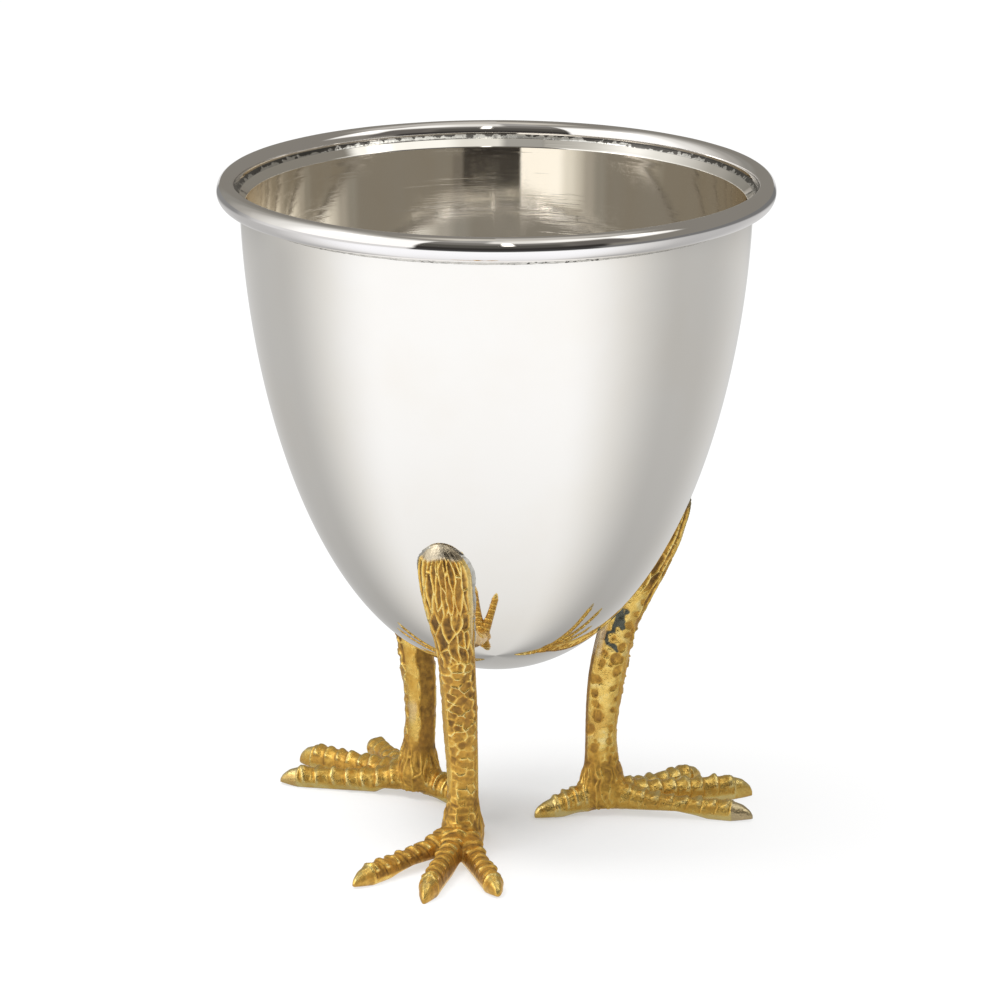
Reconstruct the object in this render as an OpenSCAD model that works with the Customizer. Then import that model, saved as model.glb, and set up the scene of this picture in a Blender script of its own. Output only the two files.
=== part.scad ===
// Egg cup: a polished egg-shaped bowl with a beaded rim, carried on three cast bird's legs.
// Millimetres. The bowl's axis is +Z, the feet stand on z = 0 and one leg faces -Y.

/* [Bowl] */
// Outer radius of the egg shape at its widest
bowl_r = 23.9; // [22:0.05:24.5]
// How much the egg shape draws in from mouth to base, besides its curve
bowl_taper = 0.4; // [0:0.1:1]
// Height of the plane where the egg shape starts to curve in
bowl_top_z = 62.2; // [62:0.1:64]
// Height of the egg's underside above the table
bowl_base_z = 15.6; // [15:0.1:17]
// Thickness of the spun sheet
wall_t = 0.6; // [0.5:0.1:0.8]

/* [Rim] */
// Outer radius of the rim wire
rim_r = 26; // [25:0.1:28]
// Radial width of the rim wire
rim_w = 1.85; // [1.6:0.05:2.4]
// Height of the rim wire
rim_h = 2.3; // [1.8:0.1:2.8]
// How far the sheet's edge lies below the middle of the rim wire
edge_drop = 0.4; // [0.2:0.1:0.8]
// Height of the bevel that leads from the bowl's inner wall up to the sheet's edge
bevel_h = 0.7; // [0.4:0.1:1]

/* [Legs] */
// Thickness of the solder under each leg
solder_t = 0.15; // [0.1:0.05:0.3]
// How far the solder shows round each leg's pad
solder_show = 0.3; // [0.2:0.05:0.5]

/* [Toes] */
// Length of the long inner toe from the ankle's centre
toe_inner_l = 14.7; // [13:0.1:15.5]
// Length of the middle toe
toe_middle_l = 15.4; // [13:0.1:15.4]
// Length of the short outer toe
toe_outer_l = 13.9; // [12:0.1:15]
// Length of the hind toe
toe_hind_l = 6.9; // [5:0.1:7.5]
// Horny rings across each front toe
scutes = 7; // [5:1:9]
// Height of each ring
scute_h = 0.14; // [0.05:0.01:0.25]

/* [Hidden] */

silver = [0.82, 0.82, 0.80];
gold = [0.80, 0.58, 0.18];
solder_grey = [0.62, 0.61, 0.56];

rim_c = rim_r - rim_w / 2;
rim_z = bowl_top_z - 0.7;
edge_z = rim_z - edge_drop;
// Width of the sheet's edge above its bevel
edge_flat = 0.06;
egg_power = 1.91;
egg_root = 2.22;
egg_steps = 44;
lathe_fn = 180;
rim_steps = 40;
// The rim's solder starts this far below the middle of the wire and ends this far in from its lowest line
seam_drop = 1.68;
seam_reach = 0.3;
seam_rise = 0.08;

leg_count = 3;
// Distance of the ankles from the bowl's axis
leg_axis_r = 10.5;
front_angle = -90;
ring_sides = 14;
toe_sides = 12;
rings_per_station = 2;
dome_rings = 4;
dome_turn = 86;
sole_cut = 3;

// Leg stations from the foot up: distance from the bowl's axis, height, half thickness, half width
// and a small offset sideways
leg_stations = [
    [10.40, 0.7, 1.95, 1.95, 0],
    [10.45, 2.3, 2.25, 2.00, 0.05],
    [10.50, 3.8, 2.00, 1.72, 0.05],
    [10.42, 5.2, 1.70, 1.50, 0.05],
    [10.34, 7.0, 1.56, 1.43, 0],
    [10.36, 9.0, 1.57, 1.46, -0.04],
    [10.56, 11.5, 1.70, 1.55, -0.10],
    [10.90, 14.0, 1.80, 1.62, -0.10],
    [11.42, 16.6, 1.80, 1.66, -0.08],
    [12.12, 19.1, 1.85, 1.70, 0],
    [12.95, 21.2, 1.90, 1.78, 0.05],
    [14.20, 23.4, 1.90, 1.95, 0.18],
    [15.30, 25.4, 1.85, 2.22, 0.32],
    [16.25, 27.3, 1.75, 2.38, 0.38],
    [16.85, 28.9, 1.65, 2.47, 0.42]
];
dome_l = 3.6;
// The station below which the leg stands clear of the bowl
pad_station = 6;

// Toe profiles against the share of the toe's length: height of its top, of its underside, half width
toe_top = [[0, 4.0], [0.16, 2.9], [0.32, 2.25], [0.5, 2.0], [0.7, 1.92], [0.86, 1.9], [0.93, 1.6],
           [0.98, 1.05], [1, 0.55]];
middle_top = [[0, 4.0], [0.16, 3.1], [0.32, 2.6], [0.5, 2.4], [0.7, 2.35], [0.86, 2.2], [0.93, 1.85],
              [0.98, 1.2], [1, 0.6]];
inner_under = [[0, 0.35], [0.5, 0.5], [0.62, 0.2], [0.7, -0.1], [0.86, -0.2], [1, 0.1]];
middle_under = [[0, 0.35], [0.3, 0.35], [0.5, -0.2], [0.86, -0.3], [1, -0.1]];
outer_under = [[0, 0.35], [0.24, 0.35], [0.3, -0.1], [0.86, -0.25], [1, 0.1]];
toe_side = [[0, 1.55], [0.2, 1.32], [0.4, 1.1], [0.6, 1.0], [0.86, 0.98], [0.93, 0.76], [0.98, 0.44],
            [1, 0.2]];
hind_top = [[0, 3.6], [0.3, 3.0], [0.6, 2.2], [0.72, 1.9], [0.86, 1.5], [0.96, 1.05], [1, 0.6]];
hind_under = [[0, 0.35], [0.4, 0.1], [0.6, -0.2], [1, -0.1]];
hind_side = [[0, 1.3], [0.4, 1.15], [0.72, 1.0], [0.86, 0.78], [0.96, 0.48], [1, 0.24]];
// Shares of the length where the horny rings begin and the claw takes over
scute_start = 0.21;
claw_start = 0.86;
hind_claw_start = 0.72;
// Heights along one ring, and places of the claw's sections
scute_shape = [0, 1, 0.75];
claw_shares = [0, 0.5, 0.86, 1];

// Headings of the toes, from straight outwards
inner_turn = -24;
middle_turn = 6;
outer_turn = 33.2;
hind_turn = 186;
// Small turns that the legs and feet took when they were soldered on: front, right, left
leg_swings = [0, 0, 1.8];
foot_turns = [-1.7, -0.4, -0.6];

// Radius and height of the egg shape at a share t of its depth
function egg_r(t) = (bowl_r - bowl_taper * t) * pow(max(0, 1 - pow(t, egg_power)), 1 / egg_root);
function egg_z(t) = bowl_top_z - (bowl_top_z - bowl_base_z) * t;
function share_at(z) = (bowl_top_z - z) / (bowl_top_z - bowl_base_z);
// Shares of the depth from the edge down, crowded together at the base, where the curve is tight
function egg_share(i) = 1 - (1 - share_at(edge_z)) * pow(1 - i / egg_steps, 2.2);
function egg_point(i) = [egg_r(egg_share(i)), egg_z(egg_share(i))];

function unit(v) = v / norm(v);
function left_of(v) = [-v[1], v[0]];
function egg_tangent(i) = unit(egg_point(min(egg_steps, i + 1)) - egg_point(max(0, i - 1)));
// The egg curve moved outwards by d, or inwards where d is negative
function egg_offset(i, d) =
    i == egg_steps ? [0, bowl_base_z - d] : egg_point(i) + d * left_of(egg_tangent(i));

function egg_side(d) = [for (i = [1 : egg_steps]) egg_offset(i, d)];
function reversed(list) = [for (i = [len(list) - 1 : -1 : 0]) list[i]];
// The bevel inside the sheet's edge, from its foot up
edge_bevel = [egg_point(0) - [wall_t, bevel_h], egg_point(0) - [edge_flat, 0]];
shell_outline = concat([egg_point(0)], egg_side(0), reversed(egg_side(-wall_t)), edge_bevel);

// The space inside the bowl's outer skin, grown by d and drawn just outside the true curve
module egg_space(d) {
    wide = 1 / cos(180 / lathe_fn);
    side = egg_side(d);
    top = side[0];
    scale([wide, wide, 1])
        rotate_extrude($fn = lathe_fn)
            polygon(concat([[0, top[1] + 1], [top[0], top[1] + 1]], side));
}

module bowl() {
    color(silver)
        rotate_extrude($fn = lathe_fn) polygon(shell_outline);
}

// The rim wire's oval section
module rim_section() {
    translate([rim_c, rim_z])
        polygon([for (k = [0 : rim_steps - 1])
            [rim_w / 2 * cos(360 * k / rim_steps), rim_h / 2 * sin(360 * k / rim_steps)]]);
}

module rim_wire() {
    color(silver)
        rotate_extrude($fn = lathe_fn) rim_section();
}

// The solder between the bowl's outer wall and the wire; its top carries the bevel on to the wire's inner side
module rim_solder_seam() {
    seam_z = rim_z - seam_drop;
    seam_r = egg_r(share_at(seam_z));
    color(solder_grey)
        rotate_extrude($fn = lathe_fn)
            difference() {
                polygon([[seam_r, seam_z],
                         [rim_c - seam_reach, rim_z - rim_h / 2 + seam_rise],
                         [rim_c, edge_z],
                         [rim_r - rim_w, rim_z],
                         edge_bevel[1],
                         [seam_r - wall_t / 2, seam_z]]);
                rim_section();
                polygon(shell_outline);
            }
}

// A smooth curve through a list of stations: u counts stations, with fractions between them
function spline(list, u) =
    let (i = min(floor(u), len(list) - 2), f = u - i,
         p0 = list[max(0, i - 1)], p1 = list[i], p2 = list[i + 1], p3 = list[min(len(list) - 1, i + 2)])
    0.5 * (2 * p1 + f * (p2 - p0) + f * f * (2 * p0 - 5 * p1 + 4 * p2 - p3)
           + f * f * f * (3 * p1 - p0 - 3 * p2 + p3));

// One closed skin over a list of rings that all have the same number of points
module skin(rings) {
    n = len(rings[0]);
    last = len(rings) - 1;
    polyhedron(
        points = [for (ring = rings) each ring],
        faces = concat(
            [[for (k = [0 : n - 1]) k]],
            [for (i = [0 : last - 1], k = [0 : n - 1])
                [i * n + k, (i + 1) * n + k, (i + 1) * n + (k + 1) % n]],
            [for (i = [0 : last - 1], k = [0 : n - 1])
                [i * n + k, (i + 1) * n + (k + 1) % n, i * n + (k + 1) % n]],
            [[for (k = [n - 1 : -1 : 0]) last * n + k]]));
}

// An ellipse of points round a centre, in the plane of two directions
function ring(centre, across, up, half_w, half_h, sides) =
    [for (k = [0 : sides - 1])
        centre + half_w * cos(360 * k / sides) * across + half_h * sin(360 * k / sides) * up];

function leg_ring(s, along, grow) =
    ring([s[0], s[4], s[1]], [0, 1, 0], [-along[1], 0, along[0]], s[3] + grow, s[2] + grow, ring_sides);

// The shank from the foot to the top of its pad, which ends in a dome
module shank(grow = 0, first = 0) {
    last = len(leg_stations) - 1;
    end = leg_stations[last];
    lean = unit([end[0] - leg_stations[last - 1][0], end[1] - leg_stations[last - 1][1]]);
    body = [for (j = [first * rings_per_station : last * rings_per_station])
        let (u = j / rings_per_station, s = spline(leg_stations, u),
             a = spline(leg_stations, max(0, u - 0.1)), b = spline(leg_stations, min(last, u + 0.1)))
        leg_ring(s, unit([b[0] - a[0], b[1] - a[1]]), grow)];
    dome = [for (j = [1 : dome_rings])
        let (a = dome_turn * j / dome_rings, reach = dome_l * sin(a))
        leg_ring([end[0] + lean[0] * reach, end[1] + lean[1] * reach, end[2] * cos(a), end[3] * cos(a),
                  end[4]], lean, grow)];
    skin(concat(body, dome));
}

// Places along a toe, as shares of its length: the root, three for each horny ring, the claw
function toe_places(count, claw) = concat(
    [[0, 0], [scute_start / 2, 0]],
    [for (i = [0 : count - 1], k = [0 : 2])
        [scute_start + (claw - scute_start) * (i + k / 3) / count, scute_shape[k]]],
    [for (c = claw_shares) [claw + (1 - claw) * c, 0]]);

function toe_ring(place, l, top, under, side) =
    let (share = place[0], bump = scute_h * place[1],
         high = lookup(share, top) + bump, low = lookup(share, under))
    ring([l * share, 0, (high + low) / 2], [0, 1, 0], [0, 0, 1],
         lookup(share, side) + bump / 2, (high - low) / 2, toe_sides);

// A toe from the ankle's centre out along its own heading
module toe(l, turn, count, claw, top, under, side) {
    translate([leg_axis_r, 0, 0])
        rotate([0, 0, turn])
            skin([for (place = toe_places(count, claw)) toe_ring(place, l, top, under, side)]);
}

module foot(turn) {
    toe(toe_inner_l, inner_turn + turn, scutes, claw_start, toe_top, inner_under, toe_side);
    toe(toe_middle_l, middle_turn + turn, scutes, claw_start, middle_top, middle_under, toe_side);
    toe(toe_outer_l, outer_turn + turn, scutes - 1, claw_start, toe_top, outer_under, toe_side);
    toe(toe_hind_l, hind_turn + turn, scutes - 3, hind_claw_start, hind_top, hind_under, hind_side);
}

// Direction of a leg seen from above, the front one first
function leg_angle(number) = front_angle + number * 360 / leg_count + leg_swings[number];

// A leg as it was cast, hollowed at its back to fit the bowl and cut flat under its toes.
// A resize to zero keeps every size, and makes the shank and toes one skin.
module leg(number) {
    color(gold)
        rotate([0, 0, leg_angle(number)])
            resize([0, 0, 0])
                difference() {
                    union() {
                        shank();
                        foot(foot_turns[number]);
                    }
                    egg_space(solder_t);
                    translate([0, -rim_r, -sole_cut]) cube([2 * rim_r, 2 * rim_r, sole_cut]);
                }
}

// The solder between a leg's pad and the bowl, with the fillet that shows round the pad
module leg_solder(number) {
    color(solder_grey)
        rotate([0, 0, leg_angle(number)])
            resize([0, 0, 0])
                difference() {
                    intersection() {
                        shank(grow = solder_show, first = pad_station);
                        egg_space(solder_t);
                    }
                    egg_space(0);
                }
}

bowl();
rim_wire();
rim_solder_seam();
leg(0);  // leg_front
leg(1);  // leg_right
leg(2);  // leg_left
leg_solder(0);  // solder_front
leg_solder(1);  // solder_right
leg_solder(2);  // solder_left
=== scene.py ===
import math
from functools import partialmethod

import bmesh
import bpy
import numpy as np
from mathutils import Matrix, Vector


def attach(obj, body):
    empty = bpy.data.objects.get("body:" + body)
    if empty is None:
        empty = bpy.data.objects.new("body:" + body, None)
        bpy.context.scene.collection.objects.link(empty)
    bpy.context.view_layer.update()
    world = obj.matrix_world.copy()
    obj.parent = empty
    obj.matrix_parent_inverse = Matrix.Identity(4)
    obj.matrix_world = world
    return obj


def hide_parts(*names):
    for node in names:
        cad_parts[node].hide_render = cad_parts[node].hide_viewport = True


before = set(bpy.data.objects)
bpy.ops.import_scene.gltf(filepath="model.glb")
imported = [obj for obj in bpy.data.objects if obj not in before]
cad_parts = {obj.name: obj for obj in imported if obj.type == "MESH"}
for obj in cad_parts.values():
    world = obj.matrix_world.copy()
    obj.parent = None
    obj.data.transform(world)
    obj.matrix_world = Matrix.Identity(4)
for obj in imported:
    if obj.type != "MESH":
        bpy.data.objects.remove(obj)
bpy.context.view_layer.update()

# Sizes are in millimetres, and MM turns them into the frame's metres
MM = 0.001

# The bowl and its rim, as in the construction
BOWL_R = 23.9
BOWL_TAPER = 0.4
BOWL_TOP_Z = 62.2
BOWL_BASE_Z = 15.6
WALL_T = 0.6
EGG_POWER = 1.91
EGG_ROOT = 2.22
RIM_R = 26.0
RIM_W = 1.85
RIM_H = 2.3
RIM_C = RIM_R - RIM_W / 2
RIM_Z = BOWL_TOP_Z - 0.7
EDGE_Z = RIM_Z - 0.4
EDGE_FLAT = 0.06
BEVEL_H = 0.7
SEAM_Z = RIM_Z - 1.68
SEAM_REACH = 0.3
SEAM_RISE = 0.08

# The legs, as in the construction
LEG_AXIS_R = 10.5
LEG_NAMES = ["front", "right", "left"]
# Each foot's inner, middle, outer and hind toe: where its rings begin, how horny and how silvery its claw is
TOE_LOOKS = {
    "front": [(0.45, 0.15, 0.0), (0.55, 0.1, 0.0), (0.5, 0.15, 0.0), (0.0, 0.5, 0.2)],
    "right": [(0.55, 0.5, 0.6), (0.3, 0.0, 0.0), (0.3, 0.0, 0.0), (-0.2, 0.15, 0.0)],
    "left": [(0.3, 0.0, 0.0), (0.4, 0.0, 0.0), (-0.3, 0.2, 0.2), (-0.1, 0.5, 0.2)],
}
# Degrees of each leg off its third of a turn, and of each foot on its leg
LEG_SWINGS = [0, 0, 1.8]
FOOT_TURNS = [-1.7, -0.4, -0.6]
# Painted light: how much brighter or darker each foot's toes are painted, foot by foot
TOE_PAINTED_LIGHT = {"front": -0.04, "right": 0.33, "left": 0.19}
# Stations from the foot up: distance from the axis, height, half thickness, half width, sideways offset
LEG_STATIONS = np.array([
    [10.40, 0.7, 1.95, 1.95, 0],
    [10.45, 2.3, 2.25, 2.00, 0.05],
    [10.50, 3.8, 2.00, 1.72, 0.05],
    [10.42, 5.2, 1.70, 1.50, 0.05],
    [10.34, 7.0, 1.56, 1.43, 0],
    [10.36, 9.0, 1.57, 1.46, -0.04],
    [10.56, 11.5, 1.70, 1.55, -0.10],
    [10.90, 14.0, 1.80, 1.62, -0.10],
    [11.42, 16.6, 1.80, 1.66, -0.08],
    [12.12, 19.1, 1.85, 1.70, 0],
    [12.95, 21.2, 1.90, 1.78, 0.05],
    [14.20, 23.4, 1.90, 1.95, 0.18],
    [15.30, 25.4, 1.85, 2.22, 0.32],
    [16.25, 27.3, 1.75, 2.38, 0.38],
    [16.85, 28.9, 1.65, 2.47, 0.42],
])
DOME_L = 3.6
SCUTE_START = 0.21
# Toe profiles against the share of its length: height of the top, of the underside, half width
TOE_TOP = [(0, 4.0), (0.16, 2.9), (0.32, 2.25), (0.5, 2.0), (0.7, 1.92), (0.86, 1.9), (0.93, 1.6),
           (0.98, 1.05), (1, 0.55)]
MIDDLE_TOP = [(0, 4.0), (0.16, 3.1), (0.32, 2.6), (0.5, 2.4), (0.7, 2.35), (0.86, 2.2), (0.93, 1.85),
              (0.98, 1.2), (1, 0.6)]
INNER_UNDER = [(0, 0.35), (0.5, 0.5), (0.62, 0.2), (0.7, -0.1), (0.86, -0.2), (1, 0.1)]
MIDDLE_UNDER = [(0, 0.35), (0.3, 0.35), (0.5, -0.2), (0.86, -0.3), (1, -0.1)]
OUTER_UNDER = [(0, 0.35), (0.24, 0.35), (0.3, -0.1), (0.86, -0.25), (1, 0.1)]
TOE_SIDE = [(0, 1.55), (0.2, 1.32), (0.4, 1.1), (0.6, 1.0), (0.86, 0.98), (0.93, 0.76), (0.98, 0.44),
            (1, 0.2)]
HIND_TOP = [(0, 3.6), (0.3, 3.0), (0.6, 2.2), (0.72, 1.9), (0.86, 1.5), (0.96, 1.05), (1, 0.6)]
HIND_UNDER = [(0, 0.35), (0.4, 0.1), (0.6, -0.2), (1, -0.1)]
HIND_SIDE = [(0, 1.3), (0.4, 1.15), (0.72, 1.0), (0.86, 0.78), (0.96, 0.48), (1, 0.24)]
# Inner, middle, outer and hind toe: length, heading from straight outwards, number of horny rings, share
# where the claw begins, profiles
TOES = [((14.7, -24, 7, 0.86), TOE_TOP, INNER_UNDER, TOE_SIDE),
        ((15.4, 6, 7, 0.86), MIDDLE_TOP, MIDDLE_UNDER, TOE_SIDE),
        ((13.9, 33.2, 6, 0.86), TOE_TOP, OUTER_UNDER, TOE_SIDE),
        ((6.9, 186, 4, 0.72), HIND_TOP, HIND_UNDER, HIND_SIDE)]
TOE_PINCH = 0.16
TOE_SQUARE = 2.3
RING_H = 0.25
# Lines along the shank: angle round it, half width in degrees, start, end, height, brightness, dice seed
SHANK_LINES = [(-128, 3.5, 8, 19, 0.06, 0.85, 15), (-24, 2.6, 5, 16, 0.05, 0.8, 16),
               (134, 5.5, 6, 21, 0.15, 0.9, 17)]
# The stain on the right leg: angle round the shank and length along it
STAIN_PATH = [(-103, 19.5), (-108, 18.7), (-119, 17.6), (-126, 16.6), (-115, 16.1), (-92, 16.0)]
# Least gap between leg and bowl
LEG_LIFT = 0.1
SMOOTH_ROUNDS = 14
SOLDER_RISE = 0.25
# Gold from the recesses to the crests; the palest last stop, which the brightest crests reach, is a painted
# highlight
GOLD_AND_PAINTED_HIGHLIGHT_STOPS = [(0.02, (0.16, 0.085, 0.020)), (0.22, (0.38, 0.205, 0.042)), (0.50, (0.79, 0.455, 0.080)),
              (0.82, (1.0, 0.70, 0.19)), (1.0, (1.0, 0.79, 0.32))]

# Fineness of the meshes
LATHE_SIDES = 512
RIM_SIDES = 720
LEG_VOXEL = 0.08
LINE_SAMPLES = 400
SOLDER_GRID = 0.12
# Points compared with a line at once
CHUNK = 20000

# The camera that fits the photograph: it looks down, from a little to the right of the front leg
CAMERA_TURN = math.radians(17.211 - 0.040)
CAMERA_PITCH = math.radians(15.454)
CAMERA_ROLL = math.radians(0.1286)
CAMERA_AWAY = 560.791
CAMERA_HEIGHT = 186.533
CAMERA_PLACE_TURN = math.radians(17.211)
CAMERA_LENS = 222.66


# Curves and noise

def egg_r(z):
    """Radius of the bowl's outer skin at a height."""
    t = np.clip((BOWL_TOP_Z - z) / (BOWL_TOP_Z - BOWL_BASE_Z), 0, 1)
    return (BOWL_R - BOWL_TAPER * t) * np.maximum(0, 1 - t ** EGG_POWER) ** (1 / EGG_ROOT)


def egg_curve(steps):
    """Points (radius, height) of the bowl's outer skin from edge to base, and their outward normals."""
    share = (BOWL_TOP_Z - EDGE_Z) / (BOWL_TOP_Z - BOWL_BASE_Z)
    t = 1 - (1 - share) * (1 - np.linspace(0, 1, steps + 1)) ** 2.2
    z = BOWL_TOP_Z - (BOWL_TOP_Z - BOWL_BASE_Z) * t
    points = np.stack([egg_r(z), z], 1)
    points[-1, 0] = 0
    tangent = unit_rows(np.gradient(points, axis=0))
    normal = np.stack([-tangent[:, 1], tangent[:, 0]], 1)
    normal[-1] = (0, -1)
    return points, normal


def cells(turn, along, around, tall, radius, seed, jitter=0.4):
    """A jittered lattice of cells round the leg: distance to the nearest cell edge and to the cell's centre,
    and the cell's dice. Turn is in whole turns, all else in millimetres."""
    wide = 2 * math.pi * radius / around
    u, v = turn * around, along / tall
    i0, j0 = np.floor(u).astype(np.int64), np.floor(v).astype(np.int64)
    near = far = np.full(len(u), 99.0)
    near_d = far_d = np.zeros((len(u), 2))
    ident = np.zeros(len(u))
    for di in (-1, 0, 1):
        for dj in (-1, 0, 1):
            i, j = i0 + di, j0 + dj
            column = np.mod(i, around)
            d = np.stack([i + 0.5 + jitter * (2 * dice(column, j, 0 * j, seed) - 1) - u,
                          j + 0.5 + 0.5 * (column % 2 - 0.5)
                          + jitter * (2 * dice(column, j, 0 * j, seed + 1) - 1) - v], 1)
            size = (d ** 2).sum(1)
            closer = size < near
            second = ~closer & (size < far)
            far_d = np.where(closer[:, None], near_d, np.where(second[:, None], d, far_d))
            far = np.where(closer, near, np.where(second, size, far))
            near_d = np.where(closer[:, None], d, near_d)
            ident = np.where(closer, dice(column, j, 0 * j, seed + 2), ident)
            near = np.where(closer, size, near)
    between = far_d - near_d
    edge = (far - near) / 2 / np.maximum(np.hypot(between[:, 0] / wide, between[:, 1] / tall), 1e-6)
    centre = np.hypot(near_d[:, 0] * wide, near_d[:, 1] * tall)
    return edge, centre, ident


def spline(stations, u):
    """Catmull-Rom curve through the stations, at places u counted in stations."""
    last = len(stations) - 1
    i = np.minimum(np.floor(u).astype(int), last - 1)
    f = (u - i)[:, None]
    p0, p1, p2, p3 = [stations[np.clip(i + k, 0, last)] for k in (-1, 0, 1, 2)]
    return 0.5 * (2 * p1 + f * (p2 - p0) + f * f * (2 * p0 - 5 * p1 + 4 * p2 - p3)
                  + f ** 3 * (3 * p1 - p0 - 3 * p2 + p3))


def profile(table, share):
    """Straight-line lookup in a toe profile."""
    return np.interp(share, [row[0] for row in table], [row[1] for row in table])


def smooth(low, high, x):
    """Smoothstep from 0 at low to 1 at high."""
    t = np.clip((x - low) / (high - low), 0, 1)
    return t * t * (3 - 2 * t)


def band(low, high, soft, x):
    """1 between low and high, with soft ends."""
    return smooth(low - soft, low + soft, x) * (1 - smooth(high - soft, high + soft, x))


def blend(low, high, share):
    """From low to high by a share from 0 to 1."""
    return low * (1 - share) + high * share


def unit_rows(v):
    """Every row of v, made 1 long."""
    return v / np.linalg.norm(v, axis=1, keepdims=True)


def dice(i, j, k, seed):
    """A repeatable random number from 0 to 1 for each lattice cell."""
    h = (i.astype(np.int64) * 374761393 + j.astype(np.int64) * 668265263
         + k.astype(np.int64) * 2147483647 + seed * 144665) & 0xFFFFFFFF
    h = ((h ^ (h >> 13)) * 1274126177) & 0xFFFFFFFF
    h = ((h ^ (h >> 16)) * 2246822519) & 0xFFFFFFFF
    return ((h ^ (h >> 15)) & 0xFFFFFF) / float(0xFFFFFF)


def noise(points, size, seed):
    """Smooth value noise from -1 to 1, with cells of the given size."""
    p = points / size
    cell = np.floor(p).astype(np.int64)
    f = p - cell
    f = f * f * (3 - 2 * f)
    total = np.zeros(len(points))
    for corner in range(8):
        d = np.array([corner & 1, corner >> 1 & 1, corner >> 2 & 1])
        weight = np.prod(np.where(d, f, 1 - f), axis=1)
        c = cell + d
        total += weight * dice(c[:, 0], c[:, 1], c[:, 2], seed)
    return 2 * total - 1


# Meshes

def make_object(name, points, faces, material):
    """A smooth-shaded mesh object from points in millimetres."""
    mesh = bpy.data.meshes.new(name)
    mesh.from_pydata((np.asarray(points) * MM).tolist(), [], faces)
    mesh.update()
    mesh.polygons.foreach_set("use_smooth", [True] * len(mesh.polygons))
    obj = bpy.data.objects.new(name, mesh)
    bpy.context.scene.collection.objects.link(obj)
    mesh.materials.append(material)
    return obj


def read_items(items, key, width, kind=float):
    """One property of all points or edges, a row for each."""
    values = np.zeros(len(items) * width, dtype=kind)
    items.foreach_get(key, values)
    return values.reshape(-1, width)


def grid_faces(rows, columns, closed_rows=False, closed_columns=True):
    """Quads over a grid of points in row order."""
    i, j = np.indices((rows - (not closed_rows), columns - (not closed_columns))).reshape(2, -1)
    i2, j2 = (i + 1) % rows, (j + 1) % columns
    return np.stack([i * columns + j, i * columns + j2, i2 * columns + j2, i2 * columns + j], 1).tolist()


def orient(obj):
    """Turns every face outwards."""
    bm = bmesh.new()
    bm.from_mesh(obj.data)
    bmesh.ops.remove_doubles(bm, verts=bm.verts, dist=1e-7)
    bmesh.ops.recalc_face_normals(bm, faces=bm.faces)
    bm.to_mesh(obj.data)
    bm.free()
    obj.data.update()


def read_points(obj):
    """The mesh's points, in millimetres."""
    return read_items(obj.data.vertices, "co", 3) / MM


def read_normals(obj):
    """The mesh's vertex normals."""
    return read_items(obj.data.vertex_normals, "vector", 3)


def write_points(obj, points):
    """Moves the mesh's points to new places, in millimetres."""
    obj.data.vertices.foreach_set("co", (points * MM).ravel())
    obj.data.update()


def write_attribute(obj, name, values):
    """A value from 0 to 1 at every point."""
    attribute = obj.data.attributes.new(name, "FLOAT", "POINT")
    attribute.data.foreach_set("value", np.clip(values, 0, 1).astype(np.float32))


def edge_ends(obj):
    """The two ends of every edge."""
    return read_items(obj.data.edges, "vertices", 2, np.int64)


def relax(values, ends, weight, rounds):
    """Moves each point's values towards its neighbours' mean, by its weight."""
    count = len(values)
    degree = np.bincount(ends.ravel(), minlength=count).astype(float)
    for _ in range(rounds):
        mean = np.stack([np.bincount(ends[:, 0], values[ends[:, 1], k], count)
                         + np.bincount(ends[:, 1], values[ends[:, 0], k], count)
                         for k in range(values.shape[1])], 1) / degree[:, None]
        values = values + weight[:, None] * (mean - values)
    return values


def finish_piece(obj, node):
    """Hides the construction's piece of that name, and makes this piece ride on the cup."""
    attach(obj, "root")
    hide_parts(node)


def turned_piece(name, outline, sides, material, wobble=None):
    """An object from a closed outline (radius, height) turned round the bowl's axis."""
    angle = np.linspace(0, 2 * math.pi, sides, endpoint=False)
    r, z = np.repeat(outline.T[:, :, None], sides, 2)
    if wobble:
        dr, dz = wobble(np.stack([np.cos(angle), np.sin(angle), 0 * angle], 1))
        r, z = r + dr, z + dz
    points = np.stack([r * np.cos(angle), r * np.sin(angle), z], -1).reshape(-1, 3)
    obj = make_object(name, points, grid_faces(len(outline), sides, closed_rows=True), material)
    orient(obj)
    return obj


# Materials

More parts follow.
